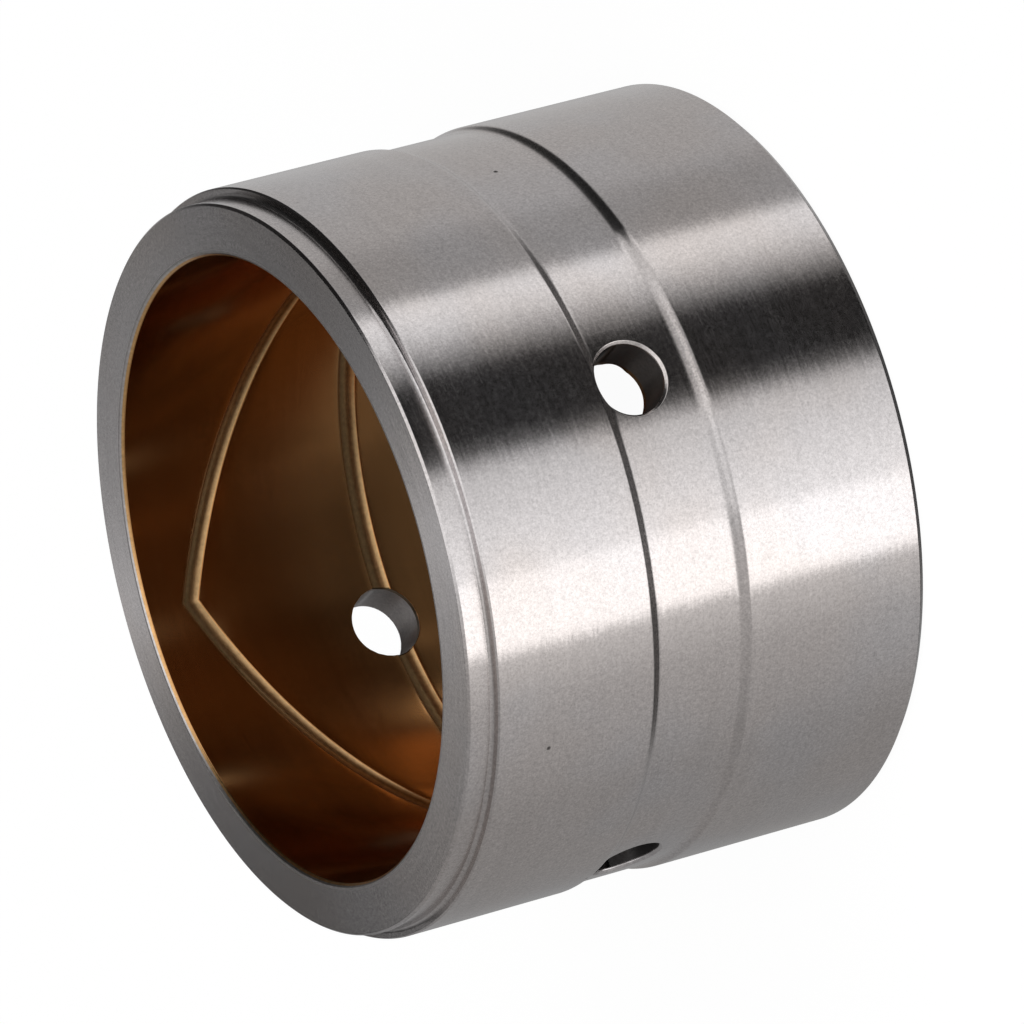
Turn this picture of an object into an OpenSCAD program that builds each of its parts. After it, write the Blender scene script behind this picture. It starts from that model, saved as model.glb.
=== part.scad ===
// Bronze lined steel bush for a heavy hinge pin.
// It stands on its plain back end at z = 0, with the stepped lead end up and the bore along +Z.

/* [Ring] */
// Bore diameter of the finished bush, the size of the pin that runs in it
bore_d = 80; // [60:0.5:120]
// Wall thickness from the bore to the outside, steel and bronze together
wall = 8; // [6.5:0.5:16]
// Length along the axis
bush_len = 65; // [50:0.5:120]
// Thickness of the bronze layer bonded inside the steel
lining_t = 0.8; // [0.7:0.1:2]

/* [Ends] */
// Chamfer round the back end, at 45 degrees
back_chamfer = 1; // [0.3:0.1:2]
// Length of the stepped lead end
lead_len = 3.5; // [2:0.5:8]
// How far the lead end is turned down below the outside, on the radius
lead_step = 1.3; // [0.8:0.1:2.5]
// Radius of the fillet at the foot of the lead end
lead_fillet = 0.5; // [0.2:0.1:0.7]
// Chamfer round the rim of the lead end
lead_chamfer = 0.3; // [0.2:0.1:1]
// Small flat that breaks the sharp corner of the shoulder
shoulder_break = 0.2; // [0.1:0.05:0.4]
// Chamfer at both mouths of the bore
mouth_chamfer = 0.5; // [0.3:0.1:1.5]

/* [Belt groove outside] */
// Width of the belt groove at the outer surface
belt_w = 14; // [12:0.5:20]
// Depth of the belt groove
belt_depth = 0.6; // [0.3:0.1:1.2]
// Length along the axis of each sloping side of the belt groove
belt_slope = 1.1; // [0.5:0.1:2.5]

/* [Oil holes] */
// Diameter of each oil hole
hole_d = 9.3; // [6:0.1:11]
// Number of drillings, each right through both walls
drillings = 2; // [1:1:3]
// Height of the drillings above the middle of the bush, at the axis
hole_rise = 1.2; // [0:0.1:3]
// Lean of each drilling from square to the axis, in degrees
hole_lean = 0.95; // [0:0.05:2]
// Width of the countersink that breaks the outer edge of each hole
hole_break = 0.35; // [0.3:0.05:0.8]

/* [Oil grooves in the bore] */
// Width of the groove that runs round the middle of the bore
ring_groove_w = 2.5; // [2:0.1:4]
// Width of the slanting grooves that meet in a V
vee_groove_w = 2.1; // [1.6:0.1:4]
// Depth of the slanting grooves
groove_depth = 0.4; // [0.25:0.05:0.45]
// How much deeper the groove round the middle is than the slanting ones
ring_groove_extra = 0.1; // [0.05:0.05:0.15]
// How far the groove round the middle lies below the exact middle of the bush
groove_drop = 0.5; // [0:0.1:1]
// Distance from the lead end of the bush to the point of the V
vee_margin = 6.5; // [5:0.5:12]
// Angle round the axis of the point of the V at the lead end
vee_angle = 77; // [0:1:180]

/* [Hidden] */
$fn = 180;
steel_color = [0.62, 0.61, 0.62];
bronze_color = [0.55, 0.32, 0.15];

// Radii and heights that follow from the sizes above
bore_r = bore_d / 2;
lining_r = bore_r + lining_t;
outer_r = bore_r + wall;
lead_r = outer_r - lead_step;
shoulder_z = bush_len - lead_len;
mid_z = bush_len / 2;
groove_z = mid_z - groove_drop;
belt_r = outer_r - belt_depth;
belt_low = mid_z - belt_w / 2;
belt_high = mid_z + belt_w / 2;

// A cutter runs this far past the surface that it cuts
past = 1;

// Section of a groove of width w and depth d: points on the arc through both lips and the bottom,
// from lip_rise above one lip to lip_rise above the other
arc_points = 7;
lip_rise = 0.4;
function arc_r(w, d) = (w * w / 4 + d * d) / (2 * d);
function arc_half_angle(w, d) = acos((arc_r(w, d) - d - lip_rise) / arc_r(w, d));
function arc_angle(w, d, i) = arc_half_angle(w, d) * (2 * i / (arc_points - 1) - 1);

// Distance of section point i from the middle of the groove, and how far it lies below the bore surface
function arc_across(w, d, i) = arc_r(w, d) * sin(arc_angle(w, d, i));
function arc_below(w, d, i) = d - arc_r(w, d) * (1 - cos(arc_angle(w, d, i)));

// Zigzag groove: it climbs and falls evenly with the angle, once each way in a full turn.
// Twice an odd number of rings puts one at each turn and none where two grooves cross.
vee_rings = 62;
vee_reach = bush_len - vee_margin - groove_z;
vee_slant = atan(vee_reach / (bore_r * PI / 2));
function turn_share(k) = 1 - abs(k / vee_rings - 0.5) * 2;
function zigzag_z(k, side) = groove_z + side * vee_reach * (1 - 2 * turn_share(k));
function zigzag_point(k, i, side) =
    let (a = vee_angle + 360 * k / vee_rings,
         r = bore_r + arc_below(vee_groove_w, groove_depth, i),
         rise = arc_across(vee_groove_w, groove_depth, i) / cos(vee_slant))
    [r * cos(a), r * sin(a), zigzag_z(k, side) + rise];

// Corner point index of ring k, section point i, both counted round
function at(k, i) = (k % vee_rings) * arc_points + (i % arc_points);

// Cutter for one zigzag groove, a closed loop round the bore
module zigzag_cutter(side) {
    points = [for (k = [0:vee_rings - 1], i = [0:arc_points - 1]) zigzag_point(k, i, side)];
    faces = [for (k = [0:vee_rings - 1], i = [0:arc_points - 1], half = [0, 1])
        half == 0 ? [at(k, i), at(k, i + 1), at(k + 1, i)]
                  : [at(k, i + 1), at(k + 1, i + 1), at(k + 1, i)]];
    polyhedron(points, faces);
}

// Cutter for the groove that runs round the middle of the bore
module ring_groove_cutter() {
    depth = groove_depth + ring_groove_extra;
    translate([0, 0, groove_z])
        rotate_extrude()
            polygon([for (i = [0:arc_points - 1])
                [bore_r + arc_below(ring_groove_w, depth, i), arc_across(ring_groove_w, depth, i)]]);
}

// Cutters for the chamfers at both mouths of the bore
module mouth_cutters() {
    for (turn = [0, 180])
        translate([0, 0, mid_z])
            rotate([turn, 0, 0])
                translate([0, 0, mid_z - mouth_chamfer])
                    cylinder(r1 = bore_r, r2 = bore_r + mouth_chamfer + past, h = mouth_chamfer + past);
}

// Cutters for the oil holes, each drilled through both walls in one pass and countersunk at both outer edges.
// The drill goes in at -Y first, then at -X, and comes out lower on the far side because of its lean.
module oil_drillings() {
    drill_len = 2 * (outer_r + past);
    sink_d = hole_d + 2 * (hole_break + past);
    for (k = [0:drillings - 1])
        rotate([0, 0, -90 - 180 * k / drillings])
            translate([0, 0, mid_z + hole_rise])
                rotate([0, 90 - hole_lean, 0]) {
                    cylinder(d = hole_d, h = drill_len, center = true);
                    for (turn = [0, 180])
                        rotate([turn, 0, 0])
                            translate([0, 0, belt_r - hole_break])
                                cylinder(d1 = hole_d, d2 = sink_d, h = hole_break + past);
                }
}

// Half section of the steel ring, seen from the side, with r along X
module steel_section() {
    polygon([
        [lining_r, 0],
        [outer_r - back_chamfer, 0],
        [outer_r, back_chamfer],
        [outer_r, belt_low],
        [belt_r, belt_low + belt_slope],
        [belt_r, belt_high - belt_slope],
        [outer_r, belt_high],
        [outer_r, shoulder_z - shoulder_break],
        [outer_r - shoulder_break, shoulder_z],
        [lead_r, shoulder_z],
        [lead_r, bush_len - lead_chamfer],
        [lead_r - lead_chamfer, bush_len],
        [lining_r, bush_len]
    ]);
    // Fillet at the foot of the lead end
    translate([lead_r, shoulder_z])
        difference() {
            square(lead_fillet);
            translate([lead_fillet, lead_fillet])
                circle(lead_fillet);
        }
}

// Half section of the bronze layer, flush with the steel at both ends
module lining_section() {
    translate([bore_r, 0])
        square([lining_t, bush_len]);
}

module steel_shell() {
    color(steel_color)
        difference() {
            rotate_extrude()
                steel_section();
            mouth_cutters();
            oil_drillings();
        }
}

module bronze_lining() {
    color(bronze_color)
        difference() {
            rotate_extrude()
                lining_section();
            mouth_cutters();
            ring_groove_cutter();
            zigzag_cutter(1);
            zigzag_cutter(-1);
            oil_drillings();
        }
}

steel_shell();
bronze_lining();
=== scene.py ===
import math

import bmesh
import bpy
import numpy as np
from mathutils import Matrix


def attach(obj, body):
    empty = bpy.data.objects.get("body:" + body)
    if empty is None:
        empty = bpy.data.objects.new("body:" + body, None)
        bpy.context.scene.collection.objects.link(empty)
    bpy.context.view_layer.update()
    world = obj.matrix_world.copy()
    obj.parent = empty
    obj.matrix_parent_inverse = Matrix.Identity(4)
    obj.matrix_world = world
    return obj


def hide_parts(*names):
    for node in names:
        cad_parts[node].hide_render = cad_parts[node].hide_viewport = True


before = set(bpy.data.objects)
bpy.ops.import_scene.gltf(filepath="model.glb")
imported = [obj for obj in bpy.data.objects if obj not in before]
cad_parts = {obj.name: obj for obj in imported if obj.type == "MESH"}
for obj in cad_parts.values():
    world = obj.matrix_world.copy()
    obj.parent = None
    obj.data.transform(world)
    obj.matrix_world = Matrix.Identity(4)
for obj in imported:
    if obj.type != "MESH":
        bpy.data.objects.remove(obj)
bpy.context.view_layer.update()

# ---------------------------------------------------------------- sizes in millimetres, as in the solid parts
MM = 0.001
BUSH_LEN = 65.0
# Radii of the bore, of the surface where bronze and steel are bonded, and of the outside
BORE_R, LINING_R, OUTER_R = 40.0, 40.8, 48.0
BACK_CHAMFER = 1.0
# Belt groove round the outside: radius of its floor, its two edges, and the length of each sloping side
BELT_R = 47.4
BELT_LOW, BELT_HIGH, BELT_SLOPE = 25.5, 39.5, 1.1
# Lead end, turned down above the shoulder
SHOULDER_Z = 61.5
SHOULDER_BREAK = 0.2
LEAD_R = 46.7
LEAD_FILLET = 0.5
LEAD_CHAMFER = 0.3
MOUTH_CHAMFER = 0.5
# Oil holes: radius, width of the broken outer edge, height at the axis, and lean from the level
HOLE_R = 4.65
HOLE_BREAK = 0.35
HOLE_Z = 33.7
HOLE_LEAN = math.radians(0.95)
# Grooves in the bore: height of the ring groove, widths and depths, the angle of the V at the lead end, how far the
# zigzag grooves climb above the ring groove and fall below it, and how steeply
GROOVE_Z = 32.0
RING_W, RING_DEPTH = 2.5, 0.5
VEE_W, VEE_DEPTH = 2.1, 0.4
VEE_ANGLE = 77.0
VEE_REACH = 26.5
VEE_SLANT = math.atan(VEE_REACH / (BORE_R * math.pi / 2))

# Angle of each oil hole round the axis, and which way it leans: up where the drill went in, down where it came out
HOLES = [(270, 1), (180, 1), (90, -1), (0, -1)]
# Direction halfway between the two holes where the drill went in, whose walls get the darker painted shade
PAINTED_SHADE_SIDE = (-math.sqrt(0.5), -math.sqrt(0.5), 0)

# ---------------------------------------------------------------- camera, as worked out from the photograph
CAMERA_AZIMUTH = math.radians(-14.3)
CAMERA_RISE = math.radians(27.1787)
CAMERA_ROLL = math.radians(255.0923)
# Distance from the foot of the axis, and the shifts sideways and up, in metres
CAMERA_AWAY = 30.5177 * OUTER_R * MM
CAMERA_SIDE = -0.557711 * OUTER_R * MM
CAMERA_UP = -0.156867 * OUTER_R * MM
# Focal length and side of the frame in pixels, the sensor's width in millimetres, and the clip distances in metres
FOCAL_PIXELS, FRAME_PIXELS, SENSOR = 11561.4, 1024, 36.0
CAMERA_CLIP = (0.01, 100.0)

# Directions in the level plane: towards the camera and to the camera's right
FRONT = (math.sin(CAMERA_AZIMUTH), -math.cos(CAMERA_AZIMUTH), 0)
RIGHT = (math.cos(CAMERA_AZIMUTH), math.sin(CAMERA_AZIMUTH), 0)

# ---------------------------------------------------------------- how finely the surfaces are divided
# Columns round the axis, and how many of them the window of an oil hole takes to each side
COLUMNS = 360
HOLE_COLUMNS = 8
# Longest step between rows of the steel, in the belt groove and elsewhere, and how far above the groove the short
# steps go on
BELT_STEP, PLAIN_STEP = 0.35, 4.0
BELT_PAST = 3
# Steps round each rounded corner, and how far past it the support point lies
ARC_STEPS = 4
SUPPORT = 0.06
# How softly the groove lips in the bore are rounded
LIP_ROUND = 0.07
# Rows across half a groove, in half widths from its middle: they gather at the lip
LIP_SHARES = np.array([0, 0.25, 0.48, 0.68, 0.82, 0.92, 1.0, 1.06, 1.13])
LIP_OUT = LIP_SHARES[-1]
# Rows from the ring groove to the slanting groove and from there to the mouth, and the power that gathers them
BETWEEN_ROWS, BETWEEN_POWER = 12, 1.45
MOUTH_ROWS, MOUTH_POWER = 10, 1.3
# Least distance from one groove's rows to the next, and from an oil hole to its window
LEAST_GAP = 0.6
# Slack in choosing rows by where they lie
CLOSE = 0.1
# Shares of the way at which rings lie: from the window's edge in to the rim of a hole, down its broken edge, down
# its wall, and from its foot out to the window's edge on the bonded side
PATCH_SHARES = np.append(np.linspace(1, 0.04, 33), 0.02)
BREAK_SHARES = (0.15, 0.85, 1)
WALL_SHARES = (0.02, 0.3, 0.6, 0.96, 1)
FOOT_SHARES = (0.5, 1)
# How much of a hole's radius, up and down, has level rows beside it, in the steel and in the lining
STEEL_LEVEL, LINING_LEVEL = 0.95, 0.75
# How soon the rows round a hole turn level, from 0 to 1
LEVEL_BEND = 0.8
# Rounds of correction that find where a hole's wall meets a surface
MEET_ROUNDS = 12
# Points closer than this, in millimetres, become one
WELD_GRAIN = 1e-5
# Faces that meet at more than this angle show a sharp edge
SHARP_ANGLE = math.radians(50)


def rounded_profile(corners):
    """A line of points (r, z) through corners given as (r, z, rounding). Each corner becomes a circular arc that
    meets both sides tangentially, and a support point just past each end of the arc keeps the flats flat."""
    line = []
    for k, (r, z, rounding) in enumerate(corners):
        here = np.array([r, z])
        if rounding == 0:
            line.append(here[None])
            continue
        way_in = here - np.array(corners[k - 1][:2])
        way_out = np.array(corners[k + 1][:2]) - here
        way_in, way_out = way_in / np.hypot(*way_in), way_out / np.hypot(*way_out)
        turn = math.atan2(way_in[0] * way_out[1] - way_in[1] * way_out[0], way_in @ way_out)
        reach = rounding * math.tan(abs(turn) / 2)
        start = here - way_in * reach
        side = np.array([-way_in[1], way_in[0]]) * np.sign(turn)
        part = np.linspace(0, turn, ARC_STEPS + 1)[:, None]
        arc = start + side * rounding - rounding * (np.cos(part) * side - np.sin(part) * way_in * np.sign(turn))
        before = start - way_in * SUPPORT
        after = here + way_out * (reach + SUPPORT)
        line += [before[None], arc, after[None]]
    return np.concatenate(line)


def divided(line, longest):
    """The same line with each stretch between two points cut into equal steps no longer than the length that
    longest gives for the middle of the stretch."""
    pieces = []
    for p, q in zip(line[:-1], line[1:]):
        n = max(1, math.ceil(np.hypot(*(q - p)) / longest((p + q) / 2)))
        pieces.append(p + (q - p) * (np.arange(n) / n)[:, None])
    return np.concatenate(pieces + [line[-1:]])


def gathered(count, power):
    """Shares between 0 and 1 that lie closest together near 0: k / count to the given power."""
    return (np.arange(1, count) / count) ** power


def turned(r, angle, z):
    """Points at radius r, angle in degrees and height z: (r cos angle, r sin angle, z)."""
    a = np.radians(angle)
    return np.stack([r * np.cos(a), r * np.sin(a), z + 0 * a], -1)


def arc_depth(across, width, depth):
    """Depth of a round-bottomed groove at a distance across it: the arc through both lips and the bottom,
    sqrt(R^2 - across^2) - R + depth, which is below zero outside the lips and held at its least far outside."""
    radius = (width ** 2 / 4 + depth ** 2) / (2 * depth)
    least_square = 0.09 * radius ** 2
    return np.sqrt(np.maximum(radius ** 2 - across ** 2, least_square)) - radius + depth


def vee_rise(angle):
    """Height of the first zigzag groove over the ring groove: it falls evenly from the V at the lead end to the V at
    the other end over half a turn and climbs back over the other half."""
    turn = np.abs((angle - VEE_ANGLE + 180) % 360 - 180) / 180
    return VEE_REACH * (1 - 2 * turn)


def bore_radius(angle, z):
    """Radius of the bore wall: the plain bore plus the deepest of the ring groove and both zigzag grooves.
    The depth d is eased to (d + sqrt(d^2 + e^2)) / 2, which rounds the lips a little."""
    depth = arc_depth(z - GROOVE_Z, RING_W, RING_DEPTH)
    for way in (1, -1):
        across = (z - GROOVE_Z - way * vee_rise(angle)) * math.cos(VEE_SLANT)
        depth = np.maximum(depth, arc_depth(across, VEE_W, VEE_DEPTH))
    return BORE_R + (depth + np.sqrt(depth ** 2 + LIP_ROUND ** 2)) / 2


def bonded_radius(angle, z):
    """Radius of the surface where bronze and steel are bonded, the same everywhere."""
    return LINING_R + 0 * z + 0 * angle


# ---------------------------------------------------------------- surfaces
ANGLES = np.arange(COLUMNS) * 360 / COLUMNS


def steel_step(point):
    """Longest step between rows of the steel near a point (r, z) of its half section: short on the outside from the
    floor of the belt groove to BELT_PAST above its upper edge, where the holes' windows lie."""
    by_holes = BELT_LOW + BELT_SLOPE < point[1] < BELT_HIGH + BELT_PAST and point[0] > BELT_R - CLOSE
    return BELT_STEP if by_holes else PLAIN_STEP


def steel_outer_rows():
    """Half section of the steel ring from the inner edge of the back face, out, up the outside and in over the
    lead face, the same at every angle. Its corners are given as (r, z, rounding)."""
    corners = [
        (LINING_R, 0, 0),
        (OUTER_R - BACK_CHAMFER, 0, 0.12),
        (OUTER_R, BACK_CHAMFER, 0.15),
        (OUTER_R, BELT_LOW, 1.0),
        (BELT_R, BELT_LOW + BELT_SLOPE, 2.0),
        (BELT_R, BELT_HIGH - BELT_SLOPE, 1.2),
        (OUTER_R, BELT_HIGH, 0.8),
        (OUTER_R, BELT_HIGH + BELT_PAST, 0),
        (OUTER_R, SHOULDER_Z - SHOULDER_BREAK, 0.06),
        (OUTER_R - SHOULDER_BREAK, SHOULDER_Z, 0.06),
        (LEAD_R, SHOULDER_Z, LEAD_FILLET),
        (LEAD_R, BUSH_LEN - LEAD_CHAMFER, 0.1),
        (LEAD_R - LEAD_CHAMFER, BUSH_LEN, 0.1),
        (LINING_R, BUSH_LEN, 0),
    ]
    return divided(rounded_profile(corners), steel_step)


STEEL_ROWS = steel_outer_rows()
STEEL_R, STEEL_Z = STEEL_ROWS.T
# The rows of the upright wall, between the back chamfer and the shoulder
WALL = (STEEL_R > BELT_R - CLOSE) & (STEEL_Z > BACK_CHAMFER - CLOSE) & (STEEL_Z < SHOULDER_Z - CLOSE)


def steel_radius(angle, z):
    """Outside radius of the steel at height z, read off the half section."""
    return np.interp(z, STEEL_Z[WALL], STEEL_R[WALL]) + 0 * angle


def half_bore_rows(length):
    """Rows of the bore at every angle, from the middle of the ring groove to the mouth that lies length away:
    radius and distance from the ring groove, columns by rows. Rows gather at the lips of the ring groove and of
    the slanting groove beyond it, and follow them round, so that the lips lie on mesh edges."""
    rise = np.abs(vee_rise(ANGLES))[:, None]
    ring = RING_W / 2 * LIP_SHARES[None] + 0 * rise
    half = VEE_W / 2 / math.cos(VEE_SLANT)
    low = np.maximum(rise - LIP_OUT * half, ring[:, -1:] + LEAST_GAP)
    middle = np.maximum(rise, low + LEAST_GAP / 2)
    high = np.maximum(rise + LIP_OUT * half, middle + LEAST_GAP / 2)
    between = ring[:, -1:] + (low - ring[:, -1:]) * gathered(BETWEEN_ROWS, BETWEEN_POWER)
    share = LIP_SHARES / LIP_OUT
    below = middle - (middle - low) * share[::-1]
    above = middle + (high - middle) * share[1:]
    # The first corner only gives the direction in which the profile comes along the bore
    end = rounded_profile([
        (BORE_R, 0, 0),
        (BORE_R, length - MOUTH_CHAMFER, 0.1),
        (BORE_R + MOUTH_CHAMFER, length, 0.06),
        (LINING_R, length, 0),
    ])[1:]
    plain = high + (end[0, 1] - high) * gathered(MOUTH_ROWS, MOUTH_POWER)
    away = np.concatenate([ring, between, below, above, plain], 1)
    radius = bore_radius(ANGLES[:, None], GROOVE_Z + away)
    return (np.concatenate([radius, end[:, 0] + 0 * rise], 1),
            np.concatenate([away, end[:, 1] + 0 * rise], 1))


def lining_rows():
    """Radius and height of the bore's rows from mouth to mouth. The grooves mirror in the ring groove."""
    lower, upper = half_bore_rows(GROOVE_Z), half_bore_rows(BUSH_LEN - GROOVE_Z)
    return (np.concatenate([lower[0][:, :0:-1], upper[0]], 1),
            GROOVE_Z + np.concatenate([-lower[1][:, :0:-1], upper[1]], 1))


def weld(points, quads):
    """Points that round to the same multiples of WELD_GRAIN become one, and points that no face uses are
    dropped."""
    used = np.unique(quads)
    keys = np.round(points[used] / WELD_GRAIN).astype(np.int64)
    _, first, back = np.unique(keys, axis=0, return_index=True, return_inverse=True)
    place = np.zeros(len(points), np.int64)
    place[used] = back.ravel()
    return points[used][first], place[quads]


def strip_quads(first, second):
    """Quads between two closed rows of point numbers."""
    return np.stack([first, np.roll(first, -1), np.roll(second, -1), second], 1)


class Shell:
    """A ring-shaped solid made of a face side, a bonded side and the walls of the oil holes between them."""

    def __init__(self):
        self.points, self.quads, self.count = [], [], 0

    def put(self, points):
        """Adds points and returns their numbers in the same layout."""
        flat = points.reshape(-1, 3)
        self.points.append(flat)
        self.count += len(flat)
        return np.arange(self.count - len(flat), self.count).reshape(points.shape[:-1])

    def side(self, radius, height, windows):
        """One side as a grid, columns by rows, closed round the axis. Windows are (first column, last column,
        first row, last row) and are left open."""
        number = self.put(turned(radius, ANGLES[:, None], height))
        keep = np.ones((COLUMNS, height.shape[1] - 1), bool)
        for c0, c1, r0, r1 in windows:
            keep[np.arange(c0, c1) % COLUMNS, r0:r1] = False
        following = np.roll(number, -1, 0)
        cells = np.stack([number[:, :-1], following[:, :-1], following[:, 1:], number[:, 1:]], -1)
        self.quads.append(cells[keep])

    def tube(self, rings):
        """A tube through closed rings that all have the same number of points."""
        numbers = [self.put(ring) for ring in rings]
        self.quads += [strip_quads(a, b) for a, b in zip(numbers[:-1], numbers[1:])]


def window(height, angle, bottom, top):
    """The block of grid cells round a hole: its columns, and the rows that clear the hole at all of them."""
    c0, c1 = angle - HOLE_COLUMNS, angle + HOLE_COLUMNS
    near = height[np.arange(c0, c1 + 1) % COLUMNS]
    r0 = np.flatnonzero(near.max(0) < bottom)[-1]
    r1 = np.flatnonzero(near.min(0) > top)[0]
    return c0, c1, r0, r1


def window_edge(height, block, angle):
    """Points round the edge of a block, as angle from the middle of the hole and height, anticlockwise from
    the lower left corner."""
    c0, c1, r0, r1 = block
    columns, rows = np.arange(c0, c1), np.arange(r0, r1)
    c = np.concatenate([columns, c1 + 0 * rows, columns[::-1] + 1, c0 + 0 * rows])
    r = np.concatenate([r0 + 0 * columns, rows, r1 + 0 * columns, rows[::-1] + 1])
    return (c - angle) * 360 / COLUMNS, height[c % COLUMNS, r]


def hole_bearing(off, height, radius, centre, rim_radius, level_share):
    """Angle round the hole for each point of a window's edge. A point beside the hole goes straight across to
    it, so that rows stay level there, up to a share of its radius, and the points above and below share out the
    caps of the circle."""
    span, up = np.radians(off) * radius, height - centre
    level = level_share * rim_radius
    beside = np.abs(up) < level
    straight = np.arcsin(np.clip(up / rim_radius, -1, 1))
    straight = np.where(span > 0, straight, math.pi - straight)
    bearing = np.arctan2(np.abs(up), span)
    least = math.atan2(level, np.abs(span).max())
    cap = math.asin(level / rim_radius)
    shared = cap + (bearing - least) * (math.pi - 2 * cap) / (math.pi - 2 * least)
    return np.where(beside, straight, shared * np.sign(up))


def on_bore_of_hole(bearing, depth, radius, lean):
    """Points on the hole's wall, as if the hole pointed along +X: depth along its leaning axis from the middle
    of the bush, radius about that axis, bearing round it from the side that the angle grows to."""
    x = depth * math.cos(lean) - radius * np.sin(bearing) * math.sin(lean)
    z = HOLE_Z + depth * math.sin(lean) + radius * np.sin(bearing) * math.cos(lean)
    return np.stack([x, radius * np.cos(bearing) + 0 * x, z], -1)


def meet(bearing, hole_radius, lean, angle, surface):
    """How far along the hole's axis a wall of hole_radius meets a surface: corrected by what the distance from
    the axis of the bush lacks until it fits."""
    depth = surface(angle, np.array(HOLE_Z)) + 0 * bearing
    for _ in range(MEET_ROUNDS):
        p = on_bore_of_hole(bearing, depth, hole_radius, lean)
        round_angle = angle + np.degrees(np.arctan2(p[:, 1], p[:, 0]))
        depth = depth + surface(round_angle, p[:, 2]) - np.hypot(p[:, 0], p[:, 1])
    return depth


def patch(rim, edge, angle, surface, shares):
    """Rings between the rim of a hole and the edge of its window. The angle is mixed by each share s, what the
    height lacks of the edge's own fades as (1 - s)(1 - LEVEL_BEND s), so that rows soon run level, and the radius
    is the surface's own there."""
    rim_off, rim_z = np.degrees(np.arctan2(rim[:, 1], rim[:, 0])), rim[:, 2]
    rings = []
    for share in shares:
        off = rim_off + (edge[0] - rim_off) * share
        z = edge[1] - (edge[1] - rim_z) * (1 - share) * (1 - LEVEL_BEND * share)
        rings.append(turned(surface(angle + off, z), angle + off, z))
    return rings


def hole_rings(angle, lean, edge, surface, level_share, edge_break):
    """Rings that line an oil hole: from the edge of its window on the face side in to the rim, down the broken
    edge and the wall, and from the foot out to the edge of the window on the bonded side."""
    here = surface(angle, np.array(HOLE_Z))
    centre = HOLE_Z + here * math.tan(lean)
    rim_radius = HOLE_R + edge_break
    bearing = hole_bearing(*edge, here, centre, rim_radius, level_share)
    top = meet(bearing, rim_radius, lean, angle, surface)
    foot = meet(bearing, HOLE_R, lean, angle, bonded_radius)
    rim = on_bore_of_hole(bearing, top, rim_radius, lean)
    around = patch(rim, edge, angle, surface, PATCH_SHARES)
    spin = np.radians(angle)
    place = np.array([[np.cos(spin), np.sin(spin), 0], [-np.sin(spin), np.cos(spin), 0], [0, 0, 1]])
    walls, start = [rim @ place], top
    if edge_break:
        start = meet(bearing, HOLE_R, lean, angle, surface) - edge_break
        for share in BREAK_SHARES:
            depth, radius = top + (start - top) * share, HOLE_R + edge_break * (1 - share)
            walls.append(on_bore_of_hole(bearing, depth, radius, lean) @ place)
    for share in WALL_SHARES:
        walls.append(on_bore_of_hole(bearing, start + (foot - start) * share, HOLE_R, lean) @ place)
    # The rim itself lies a little inside its sharp place, which rounds the edge
    walls[0] = (around[-1] + 2 * walls[0] + walls[1]) / 4
    foot_rim = on_bore_of_hole(bearing, foot, HOLE_R, lean)
    return around + walls + patch(foot_rim, edge, angle, bonded_radius, FOOT_SHARES)


def drilled(radius, height, surface, level_share, edge_break=0):
    """A shell between a face side and the bonded side, with the oil holes through both. The face side is given as
    grids of radius and height, and by surface, its radius at any angle and height. The bonded side is plain and
    has the face side's rows in the stretch of the holes. The holes' edges at the face side are broken at 45
    degrees by edge_break, the same all round."""
    shell = Shell()
    reach = HOLE_R + edge_break + LEAST_GAP
    blocks = []
    for angle, way in HOLES:
        middle = HOLE_Z + way * OUTER_R * math.tan(HOLE_LEAN)
        blocks.append(window(height, angle, middle - reach, middle + reach))
    shell.side(radius, height, blocks)
    first, last = min(b[2] for b in blocks), max(b[3] for b in blocks)
    foot = 0 * height[:, :1]
    bonded_height = np.concatenate([foot, height[:, first:last + 1], foot + BUSH_LEN], 1)
    bonded_blocks = [(c0, c1, r0 - first + 1, r1 - first + 1) for c0, c1, r0, r1 in blocks]
    shell.side(LINING_R + 0 * bonded_height, bonded_height, bonded_blocks)
    for (angle, way), block in zip(HOLES, blocks):
        edge = window_edge(height, block, angle)
        shell.tube(hole_rings(angle, way * HOLE_LEAN, edge, surface, level_share, edge_break))
    return shell


def mesh_piece(name, shell, material):
    """A mesh object from a shell's points and quads, in metres, smooth apart from its real corners."""
    points, quads = weld(np.concatenate(shell.points), np.concatenate(shell.quads))
    mesh = bpy.data.meshes.new(name)
    mesh.from_pydata(points * MM, [], quads.tolist())
    sheet = bmesh.new()
    sheet.from_mesh(mesh)
    bmesh.ops.dissolve_degenerate(sheet, dist=WELD_GRAIN * MM, edges=sheet.edges)
    bmesh.ops.recalc_face_normals(sheet, faces=sheet.faces)
    sheet.to_mesh(mesh)
    sheet.free()
    mesh.shade_smooth()
    mesh.set_sharp_from_angle(angle=SHARP_ANGLE)
    mesh.materials.append(material)
    piece = bpy.data.objects.new(name, mesh)
    bpy.context.scene.collection.objects.link(piece)
    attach(piece, "root")
    return piece


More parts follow.
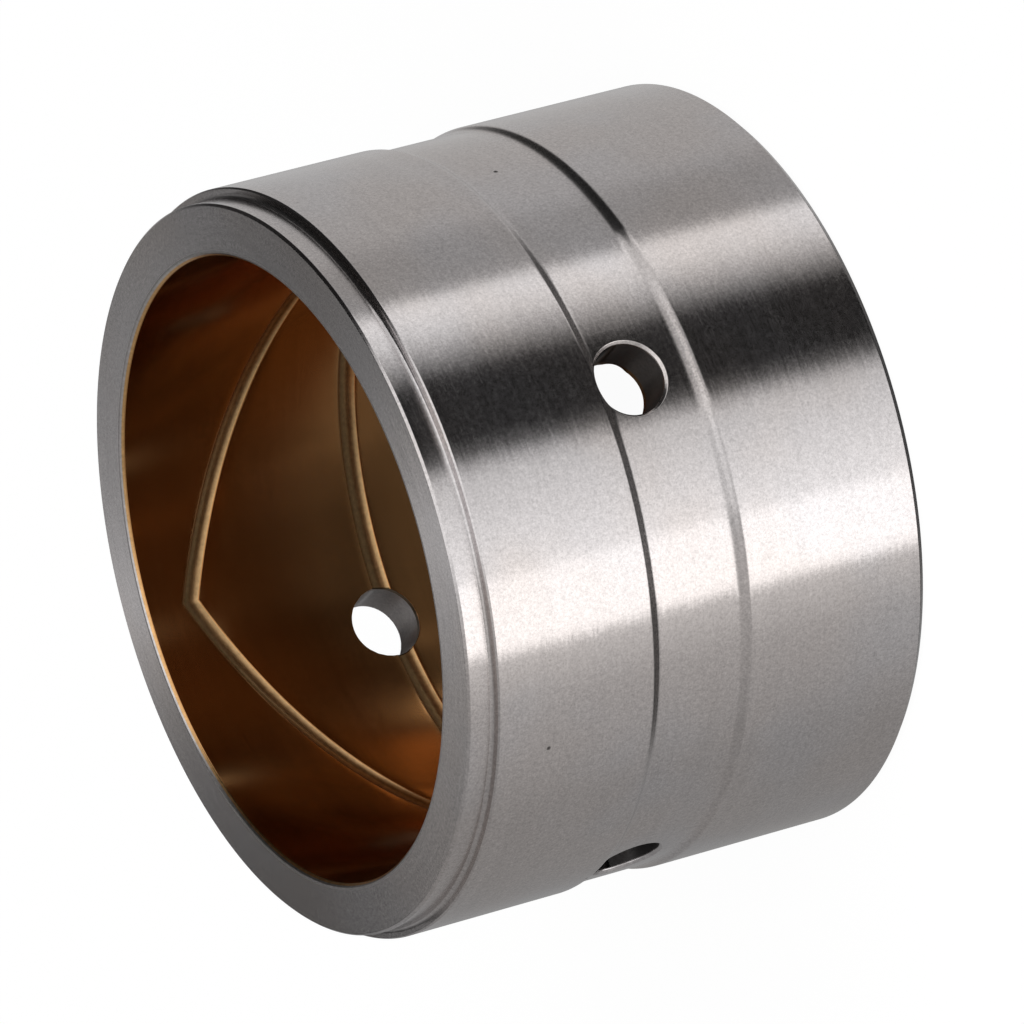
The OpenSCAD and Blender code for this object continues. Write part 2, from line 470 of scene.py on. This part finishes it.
# ---------------------------------------------------------------- node trees
class Wire:
    """A socket that a value comes out of. Arithmetic on it adds Math nodes."""

    def __init__(self, tree, socket):
        self.tree, self.socket = tree, socket

    def of(self, output):
        """Another output of the same node."""
        return Wire(self.tree, self.socket.node.outputs[output])

    def math(self, operation, *others):
        """Any operation of the Math node, on this value and the others."""
        return self.tree.add("ShaderNodeMath", {"operation": operation}, dict(enumerate((self,) + others)))

    def __add__(self, other): return self.math("ADD", other)
    def __radd__(self, other): return self.math("ADD", other)
    def __sub__(self, other): return self.math("SUBTRACT", other)
    def __rsub__(self, other): return self.tree.number(other).math("SUBTRACT", self)
    def __mul__(self, other): return self.math("MULTIPLY", other)
    def __rmul__(self, other): return self.math("MULTIPLY", other)
    def __truediv__(self, other): return self.math("DIVIDE", other)
    def __pow__(self, other): return self.math("POWER", other)

    def step(self, start, end):
        """0 below start, 1 past end, eased between them."""
        values = {"Value": self, "From Min": start, "From Max": end}
        return self.tree.add("ShaderNodeMapRange", {"interpolation_type": "SMOOTHSTEP"}, values)

    def swing(self, amount):
        """Noise from 0 to 1 as a swing either way, by half of amount at most."""
        return (self - 0.5) * amount


class Tree:
    """One node tree, emptied and built up by add()."""

    def __init__(self, node_tree):
        self.nodes, self.links = node_tree.nodes, node_tree.links
        self.nodes.clear()

    def add(self, kind, settings=None, values=None, out=0):
        """Any node: its type, its settings, then the values or wires of its inputs by name or number."""
        node = self.nodes.new(kind)
        for key, value in (settings or {}).items():
            if key == "stops":
                self.set_stops(node.color_ramp, value)
            else:
                setattr(node, key, value)
        for key, value in (values or {}).items():
            if isinstance(value, Wire):
                self.links.new(value.socket, node.inputs[key])
            else:
                node.inputs[key].default_value = value
        return Wire(self, node.outputs[out]) if len(node.outputs) else None

    def set_stops(self, ramp, stops):
        """The stops of a colour ramp, given as (position, colour)."""
        while len(ramp.elements) < len(stops):
            ramp.elements.new(0.5)
        for element, (place, colour) in zip(ramp.elements, stops):
            element.position = place
            element.color = tuple(colour) + (1,)

    def number(self, value):
        """A plain number as a wire."""
        wire = self.add("ShaderNodeValue")
        wire.socket.default_value = value
        return wire

    def noise(self, vector, scale, detail, roughness):
        """Noise from 0 to 1, with about as many swells to a unit of the vector as scale says."""
        values = {"Vector": vector, "Scale": scale, "Detail": detail, "Roughness": roughness}
        return self.add("ShaderNodeTexNoise", None, values)

    def mix(self, share, first, second):
        """Colour mixed from first to second by share."""
        return self.add("ShaderNodeMix", {"data_type": "RGBA"}, {0: share, 6: first, 7: second}, out=2)

    def combine(self, x, y, z):
        """A vector from its three parts."""
        return self.add("ShaderNodeCombineXYZ", None, {0: x, 1: y, 2: z})

    def parts(self, vector):
        """The three parts of a vector."""
        x = self.add("ShaderNodeSeparateXYZ", None, {0: vector})
        return x, x.of("Y"), x.of("Z")

    def scaled(self, vector, amount):
        """A vector or a colour times a number."""
        return self.add("ShaderNodeVectorMath", {"operation": "SCALE"}, {0: vector, "Scale": amount})

    def along(self, vector, direction):
        """How far a vector reaches along a direction."""
        values = {0: vector, 1: direction}
        return self.add("ShaderNodeVectorMath", {"operation": "DOT_PRODUCT"}, values, out="Value")

    def place(self):
        """Object coordinates in millimetres."""
        return self.scaled(self.add("ShaderNodeTexCoord", out="Object"), 1 / MM)


def rgba(r, g, b):
    """A colour that is not see-through."""
    return (r, g, b, 1.0)


# Steel where it looks cooler and where it looks warmer
STEEL_COOL, STEEL_WARM = rgba(0.65, 0.62, 0.62), rgba(0.65, 0.60, 0.58)
# Bronze, lighter and darker, the bare metal in the grooves and on the mouth's chamfer, and the grey line round it
BRONZE_LIGHT, BRONZE_DARK = rgba(0.57, 0.29, 0.115), rgba(0.5, 0.245, 0.093)
GROOVE_BRASS, MOUTH_BRASS = rgba(0.49, 0.31, 0.15), rgba(0.75, 0.45, 0.2)
RIM_GREY = rgba(0.6, 0.57, 0.56)

# Where masks go from 0 to 1, in millimetres: distance from the axis of a drilling past which its wall ends, radius
# past which the steel is no longer a hole's wall and the bronze is one, radius past which the bore is a groove or a
# chamfer, radius of the grey line, and distance from the middle of the bush past which the chamfer lies
HOLE_END = (HOLE_R + 0.1, HOLE_R + 0.2)
STEEL_HOLE_END = (BELT_R - 0.6, BELT_R - 0.4)
BRONZE_HOLE = (BORE_R + 0.05, BORE_R + 0.1)
BARE = (BORE_R + 0.04, BORE_R + 0.14)
RIM = (BORE_R + 0.28, BORE_R + 0.34)
MOUTH = (BUSH_LEN / 2 - 0.8, BUSH_LEN / 2 - 0.6)
# The same for the painted shade in the steel holes' walls, which changes from the side where the drill came out to
# the side where it went in, where it is darker
PAINTED_SHADE_CHANGE = (-10, 10)


def turned_coordinates(tree):
    """Object coordinates in millimetres, the height, the distance from the axis, and the direction round the
    axis."""
    place = tree.place()
    x, y, z = tree.parts(place)
    radius = (x * x + y * y) ** 0.5
    return place, z, radius, x / radius, y / radius


def turning_marks(tree, z, radius, ux, uy, pitch, run):
    """Fine marks left by turning: noise that changes every pitch along the axis or across a face, and only
    every run round the axis."""
    vector = tree.combine(ux * (OUTER_R / run), uy * (OUTER_R / run), (z + radius) / pitch)
    return tree.noise(vector, 1.0, 3.0, 0.6)


def material(name):
    """A new material and its empty node tree."""
    made = bpy.data.materials.new(name)
    made.use_nodes = True
    return made, Tree(made.node_tree)


def finish_material(tree, values):
    """The material's shader, with the given values and wires, and its output."""
    surface = tree.add("ShaderNodeBsdfPrincipled", None, values)
    tree.add("ShaderNodeOutputMaterial", None, {"Surface": surface})


def in_drillings(tree, place):
    """1 on the walls of the oil holes, by the distance from the leaning axis of the nearer drilling, 0 elsewhere."""
    x, y, z = tree.parts(place)
    drop = math.tan(HOLE_LEAN)
    up_x, up_y = z - HOLE_Z + x * drop, z - HOLE_Z + y * drop
    near = (y * y + up_x * up_x).math("MINIMUM", x * x + up_y * up_y) ** 0.5
    return 1 - near.step(*HOLE_END)


def streaked_normal(tree, ux, uy, marks, amount):
    """The surface's normal, tilted a little to either side round the axis by marks, which makes the edges of
    long highlights ragged."""
    across = tree.scaled(tree.combine(uy * -1, ux, 0.0), marks.swing(amount))
    normal = tree.add("ShaderNodeNewGeometry", out="Normal")
    normal = tree.add("ShaderNodeVectorMath", {"operation": "ADD"}, {0: normal, 1: across})
    return tree.add("ShaderNodeVectorMath", {"operation": "NORMALIZE"}, {0: normal})


def turned_steel():
    """Ground and turned steel: marks round the axis, speckle, faint warm patches, a few small pits. The walls of the
    oil holes are duller, and darkened with painted shade, most on the side where the drill went in."""
    made, tree = material("turned_steel")
    place, z, radius, ux, uy = turned_coordinates(tree)
    fine = turning_marks(tree, z, radius, ux, uy, 0.25, 14)
    broad = turning_marks(tree, z, radius, ux, uy, 1.6, 30)
    streaks = turning_marks(tree, z, radius, ux, uy, 0.3, 5)
    speckle = tree.noise(place, 2.2, 2.0, 0.7)
    grain = tree.noise(place, 4.5, 1.0, 0.5)
    patches = tree.noise(place, 0.045, 2.0, 0.5)
    # A cell of the pattern is about 12 mm wide, and half of the cells have a pit at their middle
    cells = tree.add("ShaderNodeTexVoronoi", None, {"Vector": place, "Scale": 0.085, "Randomness": 1.0})
    chosen = tree.add("ShaderNodeSeparateColor", None, {0: cells.of("Color")})
    pit = (1 - cells.step(0.012, 0.034)) * chosen.step(0.5, 0.52)
    in_hole = (1 - radius.step(*STEEL_HOLE_END)) * in_drillings(tree, place)
    # Painted shade: the oil holes' walls are darkened, more on the side where the drill went in
    painted_shade_drill_side = tree.along(place, PAINTED_SHADE_SIDE).step(*PAINTED_SHADE_CHANGE)
    colour = tree.mix(patches.step(0.35, 0.65), STEEL_COOL, STEEL_WARM)
    shade = 0.92 + fine.swing(0.12) + broad.swing(0.12) + speckle.swing(0.6) + grain.swing(0.4)
    # Painted shade in the oil holes' walls, deepest on the drill-entry side
    shade = (shade - pit * 0.6) * (1 - in_hole * (0.35 + painted_shade_drill_side * 0.5))
    rough = 0.17 + fine.swing(0.05) + speckle.swing(0.07) + pit * 0.3 + in_hole * 0.25
    height = fine.swing(0.2) + broad.swing(0.35) + speckle.swing(0.3) - pit * 4
    bump = tree.add("ShaderNodeBump", None, {
        "Strength": 1.0, "Distance": 6e-6, "Height": height,
        "Normal": streaked_normal(tree, ux, uy, streaks, 0.035)})
    finish_material(tree, {
        "Base Color": tree.scaled(colour, shade), "Metallic": 1.0, "Roughness": rough, "Normal": bump,
        "Anisotropic": 0.97, "Anisotropic Rotation": 0.25,
    })
    return made


def bore_bronze():
    """Bronze bore lining: reddish brown with darker patches and faint marks round the axis, bare and duller in the
    grooves and on the mouths' chamfers, with a grey line at the mouths, and the oil holes' walls darkened with
    painted shade."""
    made, tree = material("bore_bronze")
    place, z, radius, ux, uy = turned_coordinates(tree)
    fine = turning_marks(tree, z, radius, ux, uy, 0.35, 18)
    broad = turning_marks(tree, z, radius, ux, uy, 3.0, 22)
    speckle = tree.noise(place, 1.6, 2.0, 0.6)
    patches = tree.noise(place, 0.07, 3.0, 0.55)
    in_hole = radius.step(*BRONZE_HOLE) * in_drillings(tree, place)
    bare = radius.step(*BARE)
    mouth = (z - BUSH_LEN / 2).math("ABSOLUTE").step(*MOUTH)
    colour = tree.mix(patches.step(0.3, 0.7), BRONZE_LIGHT, BRONZE_DARK)
    colour = tree.mix(bare, colour, tree.mix(mouth, GROOVE_BRASS, MOUTH_BRASS))
    colour = tree.mix(mouth * radius.step(*RIM), colour, RIM_GREY)
    shade = 1.0 + fine.swing(0.15) + broad.swing(0.2) + speckle.swing(0.15 + bare * 0.6)
    # Painted shade: the walls of the oil holes are darkened
    shade = shade * (1 - in_hole * 0.8)
    rough = 0.175 + fine.swing(0.06) + speckle.swing(0.05) + patches.swing(0.08) + bare * 0.14
    height = fine.swing(0.4) + broad.swing(0.7) + speckle.swing(0.15)
    bump = tree.add("ShaderNodeBump", None, {"Strength": 1.0, "Distance": 2.5e-6, "Height": height})
    finish_material(tree, {
        "Base Color": tree.scaled(colour, shade), "Metallic": 1.0, "Roughness": rough, "Normal": bump,
        "Anisotropic": 0.5, "Anisotropic Rotation": 0.25,
    })
    return made


# ---------------------------------------------------------------- the object
every_angle = 0 * ANGLES[:, None]
steel = drilled(STEEL_R + every_angle, STEEL_Z + every_angle, steel_radius, STEEL_LEVEL, HOLE_BREAK)
steel_piece = mesh_piece("turned_shell", steel, turned_steel())
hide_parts("steel_shell")

lining = drilled(*lining_rows(), bore_radius, LINING_LEVEL)
lining_piece = mesh_piece("grooved_lining", lining, bore_bronze())
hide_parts("bronze_lining")


# ---------------------------------------------------------------- camera
def place_camera():
    """The camera looks down its own axis past the foot of the bush, moved sideways and up in its own frame."""
    back = np.array([
        math.sin(CAMERA_AZIMUTH) * math.cos(CAMERA_RISE),
        -math.cos(CAMERA_AZIMUTH) * math.cos(CAMERA_RISE),
        math.sin(CAMERA_RISE)])
    level = np.cross(-back, [0, 0, 1.0])
    level /= np.linalg.norm(level)
    upright = np.cross(level, -back)
    right = math.cos(CAMERA_ROLL) * level + math.sin(CAMERA_ROLL) * upright
    up = math.cos(CAMERA_ROLL) * upright - math.sin(CAMERA_ROLL) * level
    eye = back * CAMERA_AWAY + right * CAMERA_SIDE + up * CAMERA_UP
    data = bpy.data.cameras.new("camera")
    data.sensor_width = SENSOR
    data.lens = SENSOR * FOCAL_PIXELS / FRAME_PIXELS
    data.clip_start, data.clip_end = CAMERA_CLIP
    camera = bpy.data.objects.new("camera", data)
    turn = np.eye(4)
    turn[:3, 0], turn[:3, 1], turn[:3, 2], turn[:3, 3] = right, up, back, eye
    camera.matrix_world = Matrix(turn.tolist())
    bpy.context.scene.collection.objects.link(camera)
    bpy.context.scene.camera = camera


place_camera()


# ---------------------------------------------------------------- floor and light
# Radius of the floor and heights of the floor and the pad, in metres: the floor clears the foot of the bush, and the
# pad lies in the bore just above it
FLOOR_RADIUS = 6.0
FLOOR_HEIGHT, PAD_HEIGHT = -0.00005, 0.00002
DISC_SIDES = 96
# How much of the floor is its own white to the camera, and how bright that is
FLOOR_SHOWN, FLOOR_WHITE = 0.88, 1.08
WHITE = rgba(1, 1, 1)
PAD_COLOUR = (1, 0.98, 0.95)


def flat_disc(name, radius, z, paint):
    """A flat disc facing up: a ring of corners in one face."""
    angle = np.arange(DISC_SIDES) * 360 / DISC_SIDES
    mesh = bpy.data.meshes.new(name)
    mesh.from_pydata(turned(radius, angle, z), [], [list(range(DISC_SIDES))])
    mesh.materials.append(paint)
    disc = bpy.data.objects.new(name, mesh)
    bpy.context.scene.collection.objects.link(disc)
    return disc


def floor_paint():
    """Pale floor: to the camera mostly its own white, with the shadow showing faintly through."""
    made, tree = material("pale_floor")
    lit = tree.add("ShaderNodeBsdfDiffuse", None, {"Color": rgba(0.9, 0.9, 0.9)})
    white = tree.add("ShaderNodeEmission", None, {"Color": WHITE, "Strength": FLOOR_WHITE})
    seen = tree.add("ShaderNodeLightPath", out="Is Camera Ray")
    surface = tree.add("ShaderNodeMixShader", None, {0: seen * FLOOR_SHOWN, 1: lit, 2: white})
    tree.add("ShaderNodeOutputMaterial", None, {"Surface": surface})
    return made


def pad_paint():
    """The faint light that fills the bore from below: dim, a little brighter to the left, with a bright spot and a
    weaker one to the right, and dark towards the camera."""
    made, tree = material("pad")
    place = tree.place()
    right, front = tree.along(place, RIGHT), tree.along(place, FRONT)

    def spot(at_right, at_front, inner, outer):
        """A round spot, full inside the inner radius and gone past the outer one."""
        x, y = right - at_right, front - at_front
        return 1 - ((x * x + y * y) ** 0.5).step(inner, outer)

    left = (right * -1).step(16, 24) * (1 - front.step(8, 16))
    dark = right.step(25, 30) * front.step(-4, 2)
    light = 0.12 + left * 0.09 + spot(30.5, -10.5, 2.5, 5.2) * 1.4 + spot(22, 8, 1.5, 4) * 0.25
    light = (light - dark * 0.09 - front.step(17, 26) * 0.09).math("MAXIMUM", 0.01)
    lamp = tree.add("ShaderNodeEmission", None, {"Color": tree.scaled(PAD_COLOUR, light), "Strength": 1.0})
    tree.add("ShaderNodeOutputMaterial", None, {"Surface": lamp})
    return made


floor = flat_disc("floor", FLOOR_RADIUS, FLOOR_HEIGHT, floor_paint())
floor.visible_glossy = False
pad = flat_disc("pad", (BORE_R - MOUTH_CHAMFER) * MM, PAD_HEIGHT, pad_paint())
pad.visible_camera = False

# Brightness of the tent by bearing from the camera in degrees, as (bearing, brightness), at three heights, and below
# them. A ramp holds shares of the peak.
TENT_PEAK = 2.0
# What the upright wall shows: a bright strip left of the camera, a dark gap right of it, an edge and grey beyond
TENT_LOW = [
    (-180, 0.36), (-150, 0.31), (-100, 0.355), (-60, 0.55), (-42.5, 0.86), (-41.3, 1.9), (-21, 1.8), (-17.5, 1.38),
    (-4, 1.14), (12, 0.86), (15, 0.58), (19, 0.1), (24, 0.0), (43.5, 0.0), (49.5, 0.31), (60, 1.0), (70, 1.3),
    (72, 0.43), (90, 0.42), (100, 0.55), (150, 0.56), (165, 0.58), (180, 0.36)]
# What surfaces tilted up show: grey in front, dark at the right, and a narrow strip at the back that the end
# faces mirror
TENT_MID = [
    (-180, 0.75), (-179.5, 0.75), (-179.2, 0.02), (-170, 0.03), (-150, 0.3), (-85, 0.33), (-60, 0.45), (-42, 0.55),
    (-20, 0.55), (-15, 0.8), (16, 0.8), (22, 0.55), (42, 0.55), (50, 0.8), (70, 0.8), (73, 0.02), (145, 0.03),
    (160, 0.2), (179.2, 0.2), (179.5, 0.75), (180, 0.75)]
# What surfaces that face up most show, with the same strip at the back
TENT_HIGH = [
    (-180, 0.75), (-179.5, 0.75), (-179.2, 0.26), (-110, 0.33), (-80, 0.35), (-60, 0.45), (-42, 0.7), (-20, 0.9),
    (-15, 1.2), (70, 1.2), (74, 0.02), (179.2, 0.01), (179.5, 0.75), (180, 0.75)]
TENT_BELOW = 0.05
# Where one height of the tent gives way to the next, as the upward part of the direction
BELOW_TO_LOW, LOW_TO_MID, MID_TO_HIGH = (-0.84, -0.74), (-0.26, -0.1), (0.42, 0.52)


def tent_ramp(tree, bearing, stops):
    """Brightness by bearing, which goes from 0 to 1 over the full turn."""
    stops = [((degrees + 180) / 360, (bright / TENT_PEAK,) * 3) for degrees, bright in stops]
    return tree.add("ShaderNodeValToRGB", {"stops": stops}, {0: bearing})


def light_tent():
    """The light tent round the object, as a world: its brightness follows the bearing from the camera and the
    height above the level."""
    world = bpy.data.worlds.new("light_tent")
    bpy.context.scene.world = world
    world.use_nodes = True
    tree = Tree(world.node_tree)
    way = tree.add("ShaderNodeTexCoord", out="Generated")
    _, _, rise = tree.parts(way)
    bearing = tree.along(way, RIGHT).math("ARCTAN2", tree.along(way, FRONT)) / (2 * math.pi) + 0.5
    low, mid, high = (tent_ramp(tree, bearing, stops) for stops in (TENT_LOW, TENT_MID, TENT_HIGH))
    light = tree.mix(rise.step(*LOW_TO_MID), low, mid)
    light = tree.mix(rise.step(*MID_TO_HIGH), light, high)
    light = tree.mix(rise.step(*BELOW_TO_LOW), rgba(*[TENT_BELOW / TENT_PEAK] * 3), light)
    path = tree.add("ShaderNodeLightPath", out="Is Camera Ray")
    seen = path.math("MAXIMUM", path.of("Is Transmission Ray"))
    colour = tree.mix(seen, tree.scaled(light, TENT_PEAK), WHITE)
    sky = tree.add("ShaderNodeBackground", None, {"Color": colour, "Strength": 1.0})
    tree.add("ShaderNodeOutputWorld", None, {"Surface": sky})


light_tent()
bpy.context.scene.view_settings.view_transform = "Standard"
